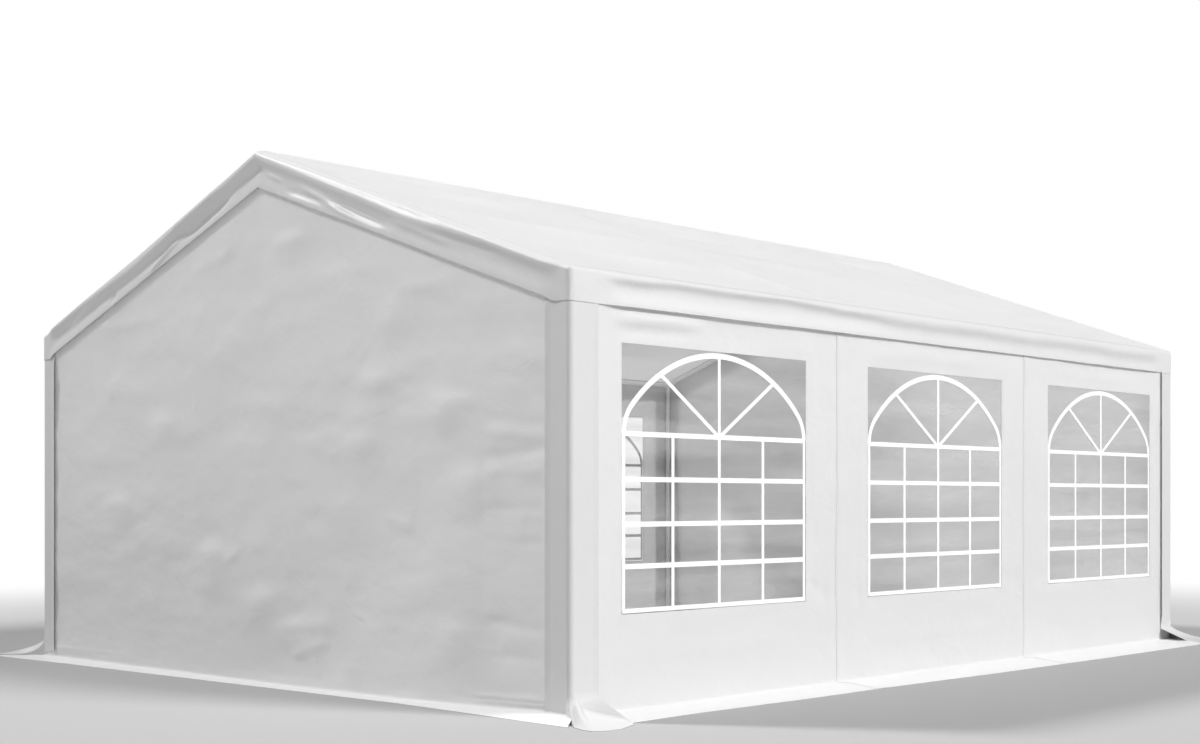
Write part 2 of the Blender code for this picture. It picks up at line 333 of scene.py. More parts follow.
# Cells of the noise table each way, and the cell in which the middle of the tent lies
NOISE_CELLS = 64
NOISE_START = (17.3, 11.9)

# Lumps of billowing cloth beside its widest ones, as (height, size)
MIDDLE_LUMPS = (0.45, 0.47)
SMALL_LUMPS = (0.2, 0.21)

# How much longer a puff runs out below its middle than above
PUFF_TAIL = 2.2

# Added to a wall's seed for the cloth of its flap and its lap, and for its crumples
FLAP_SEED = 3
LAP_SEED = 5
CRUMPLE_SEED = 7


def smooth_step(value, start, end):
    """0 before start, 1 after end, easing between them."""
    t = np.clip((value - start) / (end - start), 0.0, 1.0)
    return t * t * (3.0 - 2.0 * t)


def noise_cell(place):
    """Numbers of the table cells on both sides of a place, and the eased way between them."""
    cell = np.floor(place).astype(int)
    part = place - cell
    part = part * part * part * (part * (part * 6.0 - 15.0) + 10.0)
    return cell % NOISE_CELLS, (cell + 1) % NOISE_CELLS, part


def soft_noise(u, v, size, seed):
    """Smooth random height between -1 and 1, in lumps of size = (along u, along v) metres."""
    table = np.random.default_rng(seed).uniform(-1.0, 1.0, (NOISE_CELLS, NOISE_CELLS))
    i, next_i, a = noise_cell(u / size[0] + NOISE_START[0])
    j, next_j, b = noise_cell(v / size[1] + NOISE_START[1])
    low = table[i, j] * (1.0 - a) + table[next_i, j] * a
    high = table[i, next_j] * (1.0 - a) + table[next_i, next_j] * a
    return low * (1.0 - b) + high * b


def billow(u, v, size, seed, turn=0.35):
    """Three sizes of soft lumps, turned so that no grid shows."""
    p = u * math.cos(turn) + v * math.sin(turn)
    q = v * math.cos(turn) - u * math.sin(turn)
    height, share = MIDDLE_LUMPS
    total = soft_noise(p, q, size, seed)
    total = total + height * soft_noise(q, p, (size[1] * share, size[0] * share), seed + 1)
    height, share = SMALL_LUMPS
    return total + height * soft_noise(p, q, (size[0] * share, size[1] * share), seed + 2)


def fold(u, v, start, end, width, height, fade=0.3):
    """Long soft ridge, or a valley where height is negative, that fades out at both ends."""
    run_u = end[0] - start[0]
    run_v = end[1] - start[1]
    length = math.hypot(run_u, run_v)
    along = ((u - start[0]) * run_u + (v - start[1]) * run_v) / length ** 2
    across = ((u - start[0]) * run_v - (v - start[1]) * run_u) / length
    ends = smooth_step(along, 0.0, fade) * smooth_step(1.0 - along, 0.0, fade)
    return height * ends * np.exp(-(across / width) ** 2)


def puff(u, v, centre, size, height):
    """Rounded bump, steep on its upper side and gentle on its lower one; a dimple where negative."""
    rise = np.where(v > centre[1], v - centre[1], (v - centre[1]) / PUFF_TAIL)
    return height * np.exp(-(rise / size[0]) ** 2 - ((u - centre[0]) / size[1]) ** 2)


# Walls as seen from outside: the way each one faces, and how far its cloth stands from the middle
WALLS = {
    "front": (-1.0, 0.0, GABLE_FACE),
    "rear": (1.0, 0.0, GABLE_FACE),
    "right": (0.0, -1.0, SIDE_FACE),
    "left": (0.0, 1.0, SIDE_FACE),
}


def on_wall(wall, across, height, out):
    """Points of a wall: metres to the right seen from outside, height, and metres outwards."""
    face_x, face_y, distance = WALLS[wall]
    reach = distance + out
    x = face_x * reach - face_y * across
    y = face_y * reach + face_x * across
    return np.stack(np.broadcast_arrays(x, y, height), axis=-1)


def mark_rim(mesh):
    """Make the open edges of a sheet crisp, so that they stay so once the sheet has its thickness."""
    edge_of_corner = np.empty(len(mesh.loops), np.int32)
    mesh.loops.foreach_get("edge_index", edge_of_corner)
    uses = np.bincount(edge_of_corner, minlength=len(mesh.edges))
    sharp = mesh.attributes.get("sharp_edge") or mesh.attributes.new("sharp_edge", "BOOLEAN", "EDGE")
    sharp.data.foreach_set("value", uses == 1)


def mesh_from(name, points, faces, flat):
    """Mesh of the used points, smooth, with the cloth's flat place in metres as its UV map."""
    used = sorted({corner for face in faces for corner in face})
    fresh = {old: new for new, old in enumerate(used)}
    faces = [[fresh[corner] for corner in face] for face in faces]
    mesh = bpy.data.meshes.new(name)
    mesh.from_pydata(points[used].tolist(), [], faces)
    corners = np.empty(len(mesh.loops), np.int32)
    mesh.loops.foreach_get("vertex_index", corners)
    layer = mesh.uv_layers.new(name="flat")
    layer.data.foreach_set("uv", flat[used][corners].astype(np.float32).ravel())
    mesh.validate()
    mesh.shade_smooth()
    mark_rim(mesh)
    return mesh


def quads(index, keep=None):
    """Faces of a grid of point numbers, bottom row first, columns to the right seen from outside."""
    corners = np.stack([index[:-1, :-1], index[:-1, 1:], index[1:, 1:], index[1:, :-1]], axis=-1)
    if keep is not None:
        return corners[keep].tolist()
    return corners.reshape(-1, 4).tolist()


def add_piece(mesh, thickness=0.0):
    """Object of the tent, and its thickness inwards where it is a sheet."""
    piece = add_object(mesh.name, mesh)
    if thickness:
        solid = piece.modifiers.new("thickness", "SOLIDIFY")
        solid.thickness = thickness
        solid.offset = -1.0
        solid.use_even_offset = False
    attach(piece, "root")
    return piece


def grid_piece(name, points, flat, material, keep=None, thickness=CLOTH, flap_rows=0):
    """Sheet over a grid of points; its lowest rows may be a ground flap of doubled cloth."""
    index = np.arange(points.shape[0] * points.shape[1]).reshape(points.shape[:2])
    mesh = mesh_from(name, points.reshape(-1, 3), quads(index, keep), flat.reshape(-1, 2))
    mesh.materials.append(material)
    if flap_rows:
        mesh.materials.append(FLAP_CLOTH)
        on_flap = np.arange(len(mesh.polygons)) < flap_rows * (points.shape[1] - 1)
        mesh.polygons.foreach_set("material_index", on_flap.astype(np.int32))
    return add_piece(mesh, thickness)


def lines_through(start, end, count, fixed):
    """Grid lines from start to end, about evenly spread, that pass through the fixed places."""
    stops = [start, *fixed, end]
    lines = []
    for low, high in zip(stops, stops[1:]):
        steps = max(1, round(count * (high - low) / (end - start)))
        lines.append(np.linspace(low, high, steps + 1)[:-1])
    return np.concatenate(lines + [[end]])


# Small parts that repeat, made by geometry trees


def new_tree(name, sizes):
    """Geometry tree with a number input for each named size; returns it with its inputs."""
    tree = bpy.data.node_groups.new(name, "GeometryNodeTree")
    tree.interface.new_socket("Geometry", in_out="INPUT", socket_type="NodeSocketGeometry")
    for size in sizes:
        tree.interface.new_socket(size, in_out="INPUT", socket_type="NodeSocketFloat")
    tree.interface.new_socket("Geometry", in_out="OUTPUT", socket_type="NodeSocketGeometry")
    return tree, tree.nodes.new("NodeGroupInput").outputs


def end_tree(tree, instances, material):
    """Turn a tree's instances into plain faces with their material."""
    real = add_node(tree, "GeometryNodeRealizeInstances", {0: instances}).outputs[0]
    painted = add_node(tree, "GeometryNodeSetMaterial", {"Geometry": real, "Material": material})
    add_node(tree, "NodeGroupOutput", {"Geometry": painted.outputs[0]})
    return tree


def copies(tree, places, shape, turn):
    """One copy of a shape at each place, turned."""
    sockets = {"Points": places, "Instance": shape, "Rotation": turn}
    return add_node(tree, "GeometryNodeInstanceOnPoints", sockets).outputs[0]


def turned(tree, angles):
    """Turn by an angle round each axis that is named."""
    combined = add_node(tree, "ShaderNodeCombineXYZ", angles).outputs[0]
    return add_node(tree, "FunctionNodeEulerToRotation", {0: combined}).outputs[0]


def bake_tree(name, points, tree, sizes, edges=()):
    """Run a geometry tree over points, or lines of points, and keep the result as one plain piece."""
    places = bpy.data.meshes.new(name)
    places.from_pydata([tuple(point) for point in points], list(edges), [])
    carrier = add_object(name + "_places", places)
    modifier = carrier.modifiers.new("shape", "NODES")
    modifier.node_group = tree
    for item in tree.interface.items_tree:
        if item.in_out == "INPUT" and item.name in sizes:
            modifier[item.identifier] = sizes[item.name]
    graph = bpy.context.evaluated_depsgraph_get()
    mesh = bpy.data.meshes.new_from_object(carrier.evaluated_get(graph))
    bpy.data.objects.remove(carrier)
    mesh.name = name
    return add_piece(mesh)


def stitch_tree():
    """Row of stitches along lines: short round threads, a gap between each two."""
    tree, given = new_tree("stitches", ("Pitch", "Stitch Length", "Thread Radius"))
    line = add_node(tree, "GeometryNodeMeshToCurve", {0: given["Geometry"]}).outputs[0]
    spread = add_node(tree, "GeometryNodeCurveToPoints",
                      {"Curve": line, "Length": given["Pitch"]}, mode="LENGTH")
    along = add_node(tree, "FunctionNodeAlignRotationToVector",
                     {"Vector": spread.outputs["Tangent"]}, axis="Z")
    thread = add_node(tree, "GeometryNodeMeshCylinder",
                      {"Vertices": 5, "Radius": given["Thread Radius"],
                       "Depth": given["Stitch Length"]})
    placed = copies(tree, spread.outputs["Points"], thread.outputs["Mesh"], along.outputs[0])
    return end_tree(tree, placed, THREAD)


def ring_shape(tree, radius, wire, steps, sides=6):
    """Closed ring round Z, with flats along it and round its wire."""
    rings = [add_node(tree, "GeometryNodeCurvePrimitiveCircle", {"Resolution": flats, "Radius": size})
             for flats, size in ((steps, radius), (sides, wire))]
    sweep = {number: ring.outputs[0] for number, ring in enumerate(rings)}
    return add_node(tree, "GeometryNodeCurveToMesh", sweep).outputs[0]


def tie_tree():
    """Elastic loop round each leg with its ball on the side that faces into the tent."""
    tree, given = new_tree("elastic_ties", ("Loop Radius", "Cord Radius", "Ball Radius", "Turn"))
    loop = ring_shape(tree, given["Loop Radius"], given["Cord Radius"], steps=20)
    ball = add_node(tree, "GeometryNodeMeshUVSphere",
                    {"Segments": 12, "Rings": 8, "Radius": given["Ball Radius"]})
    reach = math_node(tree, "ADD", given["Loop Radius"], given["Ball Radius"])
    offset = add_node(tree, "ShaderNodeCombineXYZ", {"X": reach})
    moved = add_node(tree, "GeometryNodeTransform",
                     {"Geometry": ball.outputs[0], "Translation": offset.outputs[0]})
    both = add_node(tree, "GeometryNodeJoinGeometry")
    tree.links.new(loop, both.inputs[0])
    tree.links.new(moved.outputs[0], both.inputs[0])
    placed = copies(tree, given["Geometry"], both.outputs[0], turned(tree, {"Z": given["Turn"]}))
    return end_tree(tree, placed, ELASTIC)


def eyelet_tree():
    """Flat metal ring at each place, facing the way the wall faces."""
    tree, given = new_tree("eyelets", ("Ring Radius", "Wire Radius", "Turn"))
    ring = ring_shape(tree, given["Ring Radius"], given["Wire Radius"], steps=18)
    turn = turned(tree, {"Y": math.pi / 2, "Z": given["Turn"]})
    return end_tree(tree, copies(tree, given["Geometry"], ring, turn), EYELET)


def bolt_tree():
    """Hexagon bolt head at each place, its axis along the tent."""
    tree, given = new_tree("connector_bolts", ("Head Radius", "Head Height"))
    head = add_node(tree, "GeometryNodeMeshCylinder",
                    {"Vertices": 6, "Radius": given["Head Radius"], "Depth": given["Head Height"]})
    turn = turned(tree, {"Y": math.pi / 2})
    return end_tree(tree, copies(tree, given["Geometry"], head.outputs["Mesh"], turn), FRAME_STEEL)


STITCHES = stitch_tree()
STITCH_SIZES = {"Pitch": 0.011, "Stitch Length": 0.007, "Thread Radius": 0.0006}


def stitch_lines(name, lines, closed=False):
    """Stitches along lines of points on the cloth."""
    points = []
    edges = []
    for line in lines:
        start = len(points)
        points.extend(line)
        edges.extend((start + k, start + k + 1) for k in range(len(line) - 1))
        if closed:
            edges.append((len(points) - 1, start))
    return bake_tree(name, points, STITCHES, STITCH_SIZES, edges)


# Roof cover: both slopes, a roll round the outer tubes and a valance, all one sheet

# Grid of the sheet; rows beside the ridge and falls of the valance's rows as a share of its drop
BAY_COLUMNS = 44
SLOPE_ROWS = 52
RIDGE_ROWS = (0.0, 0.009, 0.022)
SLOPE_START = 0.045
CORNER_FAN = 8
ROLL_STEPS = 5
VALANCE_FALLS = np.append(np.linspace(0.0, 0.94, 17), 1.0)

# Roof between its tubes
ROOF_LIFT = 0.0275
ROOF_SAG = 0.024
SAG_SPREAD = 0.8
ROOF_UNEVEN = 0.35
ROOF_RIPPLE = 0.014
RIDGE_ROUND = 0.006

# Hem of the valance
GABLE_HEM_APEX = 2.785
GABLE_HEM_SLOPE = 0.343
GABLE_HEM_TURN = (2.33, 2.42)
CORNER_HEM_Z = 1.954
SIDE_HEM_Z = 1.951
HEM_WAVE = 0.001

# Where the valance comes away from the corner strips, by metres from the corner leg
SIDE_CORNER = (0.15, 0.35)
GABLE_CORNER = (0.02, 0.16)

# Face of the valance: closer to the tube away from the corners, and flared from a share of its drop on
CORNER_TUCK = 0.0025
FLARE_START = 0.35
FLARE_CURVE = 1.4

# Where along a side, in metres from its middle, the valance turns loose and its roll moves down
LOOSE_FROM = (-0.9, -0.3)
DEEP_FROM = (-0.9, 0.6)

# Roll and flare along the sides: the tight end's measure, and what the loose end adds to it
EAVE_BUMP = (0.021, 0.006)
EAVE_WIDTH = (0.026, 0.024)
EAVE_FLARE = (0.0190, -0.0065)
EAVE_DEPTH = (0.004, 0.016)
EAVE_LUMPS = 0.010

# Connector that shows through the valance at the left end of a side: metres along, depth, size, height
KNOB = (0.05, 0.063, 0.03, 0.004)

# Roll and flare along the gables; the roll is fuller at the apex
RAKE_BUMP = (0.028, 0.006)
RAKE_WIDTH = 0.038
RAKE_FLARE = 0.014
APEX_WIDTH = 0.25
RAKE_FOLD_SHARE = 1.6
HEM_EASE = 0.03

# How deep under the rafter the roll on a gable stands out most, by metres from the middle
RAKE_DEPTH = ((0.0, 0.5, 1.0, 1.3, 1.6, 2.0, 2.3), (0.012, 0.022, 0.030, 0.040, 0.026, 0.006, 0.0))

# Folds of the gable valance as (start, end, width, height), metres to the right and up seen from outside
RAKE_FOLDS = (
    ((-0.25, 2.78), (-0.80, 2.56), 0.020, -0.008),
    ((-0.30, 2.84), (-0.95, 2.60), 0.022, 0.008),
    ((-0.79, 2.60), (-1.20, 2.375), 0.015, 0.008),
    ((-0.72, 2.66), (-1.15, 2.47), 0.018, -0.006),
    ((-1.56, 2.32), (-1.62, 2.25), 0.018, -0.006),
    ((-1.75, 2.30), (-2.15, 2.14), 0.018, 0.005),
    ((0.05, 2.86), (0.25, 2.78), 0.012, 0.006),
    ((0.22, 2.75), (0.70, 2.60), 0.016, -0.006),
    ((0.30, 2.79), (0.95, 2.47), 0.018, 0.008),
    ((0.60, 2.65), (1.20, 2.42), 0.020, -0.008),
    ((1.15, 2.48), (1.70, 2.28), 0.018, 0.007),
    ((1.45, 2.40), (2.10, 2.195), 0.020, -0.007),
)


def roof_sag(x, y):
    """Slack of the cover between the tubes, deepest in the middle of each field."""
    along = np.abs(np.sin(math.pi * (x - END_X) / BAY))
    across = np.abs(np.sin(math.pi * y / MID_Y))
    field = along ** SAG_SPREAD * across ** SAG_SPREAD
    uneven = 1.0 + ROOF_UNEVEN * soft_noise(x, y, size=(1.4, 0.9), seed=5)
    ripple = ROOF_RIPPLE * billow(x, y, size=(1.4, 0.24), seed=11, turn=0.06)
    return ROOF_SAG * field * uneven - ripple * field


def roof_height(x, y):
    """Outer face of the cover over the tube axes."""
    lift = ROOF_LIFT * SLOPE_STRETCH
    return RIDGE_AXIS_Z + lift - ROOF_SLOPE * np.sqrt(y * y + RIDGE_ROUND ** 2) - roof_sag(x, y)


def hem_height(x, y, eave):
    """Lower edge of the valance: level along the sides, parallel to the rafters on the gables."""
    slanted = GABLE_HEM_APEX - GABLE_HEM_SLOPE * np.abs(y)
    near_corner = smooth_step(np.abs(y), *GABLE_HEM_TURN)
    gable = slanted * (1.0 - near_corner) + CORNER_HEM_Z * near_corner
    wave = HEM_WAVE * soft_noise(x, y, size=(0.3, 0.3), seed=21)
    return gable * (1.0 - eave) + SIDE_HEM_Z * eave + wave


def hang(depth, drop, corner, bump, top, width, flare):
    """Profile of a valance: a roll that stands out round the tube over a face that flares to its hem."""
    base = COVER_REACH - CORNER_TUCK + CORNER_TUCK * corner
    roll = bump * (1.0 - corner) * np.exp(-((depth - top) / width) ** 2)
    spread = smooth_step(depth, FLARE_START * drop, drop) ** FLARE_CURVE
    return base + roll + flare * (1.0 - corner) * spread


def loosened(measure, loose):
    """Measure of the valance between its tight and its loose end."""
    tight, more = measure
    return tight + more * loose


def eave_hang(u, depth, drop, corner):
    """Valance along a side: loose and rounded to the right, closer to the tube on the left."""
    loose = smooth_step(u, *LOOSE_FROM)
    lumps = EAVE_LUMPS * soft_noise(u, u * 0.0, size=(0.28, 1.0), seed=31)
    top = loosened(EAVE_DEPTH, smooth_step(u, *DEEP_FROM)) + lumps
    out = hang(depth, drop, corner, loosened(EAVE_BUMP, loose), top,
               loosened(EAVE_WIDTH, loose), loosened(EAVE_FLARE, loose))
    along, deep, size, height = KNOB
    return out + height * np.exp(-((u + END_X - along) / size) ** 2 - ((depth - deep) / size) ** 2)


def rake_hang(u, depth, drop, corner, axis_z):
    """Valance under a gable's rafters, with the long folds that run down beside them."""
    bump = loosened(RAKE_BUMP, np.exp(-(u / APEX_WIDTH) ** 2))
    top = np.interp(np.abs(u), *RAKE_DEPTH)
    out = hang(depth, drop, corner, bump, top, RAKE_WIDTH, RAKE_FLARE)
    relief = RAKE_FOLD_SHARE * sum(fold(u, axis_z - depth, *item) for item in RAKE_FOLDS)
    return out + relief * (1.0 - corner) * smooth_step(drop - depth, 0.0, HEM_EASE)


def cover_rim(xs, ys):
    """Places round the roof's edge, anticlockwise from above, and the way each one faces.

    Each corner of the roof is repeated, so that the valance can fan out round the corner leg.
    """
    grid = np.arange(len(xs) * len(ys)).reshape(len(ys), len(xs))
    sides = [(grid[0, :], -90.0), (grid[:, -1], 0.0), (grid[-1, ::-1], 90.0), (grid[::-1, 0], 180.0)]
    picked = []
    facing = []
    for indices, angle in sides:
        picked.extend(indices)
        facing.extend([angle] * len(indices))
        for step in range(1, CORNER_FAN):
            picked.append(indices[-1])
            facing.append(angle + 90.0 * step / CORNER_FAN)
    return np.array(picked), np.radians(np.array(facing))


def cover_rings(x0, y0, facing):
    """Rings of the cover below its roof, from the rim down, as distance out of the tubes and up."""
    face_x = np.cos(facing)
    face_y = np.sin(facing)
    eave = face_y ** 2
    axis_z = RIDGE_AXIS_Z - ROOF_SLOPE * np.abs(y0)
    side_corner = 1.0 - smooth_step(END_X - np.abs(x0), *SIDE_CORNER)
    gable_corner = 1.0 - smooth_step(LEG_Y - np.abs(y0), *GABLE_CORNER)
    drop = axis_z - hem_height(x0, y0, eave)

    def hanging(depth):
        side = eave_hang(-np.sign(face_y) * x0, depth, drop, side_corner)
        gable = rake_hang(np.sign(face_x) * y0, depth, drop, gable_corner, axis_z)
        return side * eave + gable * (1.0 - eave)

    top = hanging(np.zeros_like(x0))
    first_turn = np.arctan(ROOF_SLOPE * np.abs(face_y))
    lift = ROOF_LIFT * (SLOPE_STRETCH * (1.0 - eave) + eave)
    rings = []
    for step in range(1, ROLL_STEPS + 1):
        turn = first_turn + (math.pi / 2 - first_turn) * step / (ROLL_STEPS + 1)
        share = np.sin(turn)
        rings.append((share * (COVER_REACH + (top - COVER_REACH) * share ** 2), lift * np.cos(turn)))
    for fall in VALANCE_FALLS:
        rings.append((hanging(fall * drop), -fall * drop))
    return rings, axis_z


def roof_lines():
    """Places of the roof's columns and rows, one over every tube."""
    bays = [np.linspace(FRAME_X[bay], FRAME_X[bay + 1], BAY_COLUMNS + 1)[:-1] for bay in range(BAYS)]
    half = np.concatenate([RIDGE_ROWS, np.linspace(SLOPE_START, MID_Y, SLOPE_ROWS)[:-1],
                           np.linspace(MID_Y, LEG_Y, SLOPE_ROWS)])
    return np.concatenate(bays + [[END_X]]), np.concatenate([-half[:0:-1], half])


def build_cover():
    """Roof, roll and valance in one mesh."""
    xs, ys = roof_lines()
    x, y = np.meshgrid(xs, ys)
    roof = np.stack([x, y, roof_height(x, y)], axis=-1).reshape(-1, 3)
    roof_flat = np.stack([x, y * SLOPE_STRETCH], axis=-1).reshape(-1, 2)
    picked, facing = cover_rim(xs, ys)
    start = roof[picked]
    way = np.stack([np.cos(facing), np.sin(facing)], axis=-1)
    rings, axis_z = cover_rings(start[:, 0], start[:, 1], facing)
    points = [roof]
    flats = [roof_flat]
    faces = quads(np.arange(len(ys) * len(xs)).reshape(len(ys), len(xs)))
    walked = np.zeros(len(picked))
    last_out = np.zeros(len(picked))
    last_up = start[:, 2] - axis_z
    previous = picked
    total = len(roof)
    for out, up in rings:
        walked = walked + np.hypot(out - last_out, up - last_up)
        last_out, last_up = out, up
        points.append(np.column_stack([start[:, :2] + way * out[:, None], axis_z + up]))
        flats.append(roof_flat[picked] + way * walked[:, None])
        current = np.arange(total, total + len(picked))
        total += len(picked)
        faces += rim_faces(previous, current)
        previous = current
    mesh = mesh_from("tent_cover", np.concatenate(points), faces, np.concatenate(flats))
    mesh.materials.append(COVER_CLOTH)
    mesh.materials.append(VALANCE_CLOTH)
    below_roof = np.arange(len(mesh.polygons)) >= (len(ys) - 1) * (len(xs) - 1)
    mesh.polygons.foreach_set("material_index", below_roof.astype(np.int32))
    cover = add_piece(mesh, CLOTH)
    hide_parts("roof_cover")
    stitch_lines("cover_hem_stitches", [points[-2]], closed=True)


def rim_faces(upper, lower):
    """Faces between two rings round the cover; a triangle where the upper ring stays in a corner."""
    faces = []
    for k in range(len(upper)):
        after = (k + 1) % len(upper)
        face = [int(upper[k]), int(lower[k]), int(lower[after])]
        if upper[after] != upper[k]:
            face.append(int(upper[after]))
        faces.append(face)
    return faces


# Walls with their flap on the ground

# Rows of a wall's cloth: over the flap by its share, round the crease, and how many are doubled cloth
FLAP_SHARES = (1.0, 0.95, 0.85, 0.72, 0.6, 0.48, 0.36, 0.24, 0.12)
CREASE_RADIUS = 0.018
CREASE_ROWS = 6
FLAP_FACES = len(FLAP_SHARES) + 2

# Waves of the flap: their height, and where they begin from the crease and from the edge
FLAP_WAVE = 0.005
WAVE_FROM_CREASE = (0.02, 0.08)
WAVE_FROM_EDGE = (0.0, 0.05)


def wall_path(width, height, wall_shares):
    """Distances along a wall's cloth from its flap's edge (negative) over the crease to its top."""
    flap = [-(CREASE_RADIUS + share * (width - CREASE_RADIUS)) for share in FLAP_SHARES]
    crease = [np.full_like(width, d) for d in np.linspace(-CREASE_RADIUS, CREASE_RADIUS, CREASE_ROWS)]
    upper = [CREASE_RADIUS + share * (height - CREASE_RADIUS) for share in wall_shares]
    return np.stack(flap + crease + upper)


def bend_to_ground(distance, width, crease):
    """Out and up of a point on a wall's cloth: it turns a rounded crease on to a sloping flap."""
    turn = np.clip((distance + CREASE_RADIUS) / (2 * CREASE_RADIUS), 0.0, 1.0)
    out = np.where(distance < -CREASE_RADIUS, -distance, CREASE_RADIUS * (1.0 - turn) ** 2)
    up = np.where(distance > CREASE_RADIUS, distance, CREASE_RADIUS * turn ** 2)
    return out, up + crease * smooth_step(distance, -width, 0.0) + CLOTH + CLEARANCE


def flap_lift(u, distance, width, seed):
    """Small waves of the flap over the ground, none at its edge."""
    wave = np.clip(FLAP_WAVE * (1.0 + billow(u, distance, size=(0.35, 0.12), seed=seed)), 0.0, 1.0)
    wave = wave * smooth_step(-distance, *WAVE_FROM_CREASE)
    return wave * smooth_step(width + distance, *WAVE_FROM_EDGE)


def flap_share(distance):
    """1 on the flap, 0 on the wall, and between them over the crease."""
    return 1.0 - smooth_step(distance, -CREASE_RADIUS, CREASE_RADIUS)


# Height of the crease and reach of the flap on the ground, by metres to the right seen from outside
GABLE_CREASE = ((-2.5, -0.6, 0.4, 1.25, 2.0, 2.3, 2.5), (0.0, 0.0, 0.0, 0.006, 0.020, 0.030, 0.024))
GABLE_FLAP = ((-2.5, -1.9, -1.43, -0.37, 0.56, 1.38, 2.16, 2.6),
              (0.236, 0.195, 0.187, 0.156, 0.128, 0.103, 0.131, 0.16))
FLAP_STRETCH = 1.04
FLAP_PAST_CORNER = 0.050
FLAP_FLARE = 0.75
FLARE_POWER = 12

# Grid of a gable; its columns crowd towards the edges and its rows towards the ground
GABLE_COLUMNS = 220
GABLE_ROWS = 120
COLUMN_CROWD = (1.12, 0.12)
ROW_CROWD = 1.25

# Where a gable's cloth hangs free: from the ground up, from the hem down, and from its edge inwards
GABLE_FREE_Z = (0.015, 0.06)
GABLE_UNDER_HEM = 0.22
GABLE_EDGE = 2.44
GABLE_FREE_EDGE = 0.16

# Folds of the gable cloth as (start, end, width, height)
GABLE_FOLDS = (
    ((1.86, 1.425), (2.38, 1.382), 0.022, -0.006),
    ((1.86, 1.355), (2.38, 1.325), 0.022, 0.007),
    ((1.86, 1.225), (2.38, 1.270), 0.024, -0.008),
    ((1.88, 1.168), (2.36, 1.160), 0.022, 0.005),
    ((1.88, 0.985), (2.36, 0.985), 0.022, -0.005),
    ((1.88, 0.825), (2.36, 0.822), 0.024, -0.006),
    ((1.88, 0.450), (2.36, 0.400), 0.024, -0.006),
    ((1.88, 0.268), (2.36, 0.270), 0.024, -0.005),
    ((1.80, 2.080), (2.34, 2.092), 0.020, -0.006),
    ((1.82, 2.000), (2.36, 2.010), 0.022, 0.006),
    ((1.89, 0.25), (1.89, 1.45), 0.020, -0.003),
    ((1.41, 0.30), (1.41, 1.60), 0.016, -0.002),
    ((-0.39, 0.30), (-0.39, 1.90), 0.016, -0.002),
    ((-0.67, 0.40), (-0.67, 2.00), 0.020, 0.002),
    ((-0.72, 2.36), (-0.22, 2.46), 0.035, 0.009),
    ((-1.77, 2.11), (-1.00, 2.13), 0.035, 0.009),
    ((1.17, 2.10), (1.72, 2.13), 0.035, 0.009),
    ((0.09, 2.44), (0.43, 2.48), 0.030, 0.008),
    ((-0.35, 0.67), (-0.20, 0.73), 0.030, 0.008),
    ((1.13, 0.94), (1.37, 0.89), 0.030, 0.008),
    ((0.29, 0.16), (0.65, 0.27), 0.030, 0.009),
    ((-2.28, 2.04), (-2.06, 1.97), 0.018, -0.006),
    ((-2.30, 1.36), (-2.06, 1.21), 0.018, -0.006),
    ((-2.30, 1.72), (-2.08, 1.66), 0.018, -0.004),
    ((-2.30, 0.90), (-2.08, 0.84), 0.018, -0.004),
    ((-2.45, 0.064), (-1.40, 0.064), 0.009, 0.006),
    ((-2.45, 0.038), (-1.40, 0.038), 0.008, 0.005),
    ((1.75, 0.068), (2.50, 0.092), 0.010, 0.008),
    ((1.75, 0.038), (2.50, 0.063), 0.009, 0.006),
)

# Lumps of the gable cloth: height, size, turn
GABLE_LUMPS = (0.009, (0.9, 0.5), 0.1)
GABLE_CRUMPLES = (0.005, (0.34, 0.13), 0.0)

# Slack bumps of the gable cloth as (middle, height), their size (up, along) and share of that height
PUFF_SIZE = (0.060, 0.150)
PUFF_SHARE = 0.9
GABLE_PUFFS = (
    ((-1.03, 1.48), 0.028),
    ((-1.52, 0.99), 0.026),
    ((-0.48, 0.72), 0.028),
    ((0.94, 1.32), 0.030),
    ((1.07, 1.64), 0.026),
    ((1.63, 1.51), 0.026),
    ((1.81, 1.13), 0.022),
    ((0.03, 0.47), 0.024),
    ((0.27, 0.31), 0.020),
    ((1.18, 1.99), 0.020),
    ((0.27, 2.43), 0.018),
    ((0.77, 0.99), 0.012),
    ((0.50, 0.33), 0.016),
    ((1.67, 0.37), 0.020),
    ((-1.61, 1.74), 0.014),
    ((0.81, 0.12), 0.012),
    ((0.10, 1.55), 0.014),
    ((-0.30, 1.95), 0.012),
)


def gable_relief(u, z, seed):
    """How far the gable cloth stands out of its plane."""
    height, size, turn = GABLE_LUMPS
    relief = height * billow(u, z, size, seed, turn)
    height, size, turn = GABLE_CRUMPLES
    relief = relief + height * billow(u, z, size, seed + CRUMPLE_SEED, turn)
    for item in GABLE_FOLDS:
        relief = relief + fold(u, z, *item, fade=0.2)
    for place, height in GABLE_PUFFS:
        relief = relief + puff(u, z, place, PUFF_SIZE, PUFF_SHARE * height)
    return relief


def gable_free(u, z, flap):
    """1 where a gable's cloth is free to billow, 0 where it lies on the frame, a strip or the ground."""
    under_hem = GABLE_HEM_APEX - GABLE_HEM_SLOPE * np.abs(u) - z
    free = smooth_step(z, *GABLE_FREE_Z) * smooth_step(under_hem, 0.0, GABLE_UNDER_HEM)
    return free * smooth_step(GABLE_EDGE - np.abs(u), 0.0, GABLE_FREE_EDGE) * (1.0 - flap)


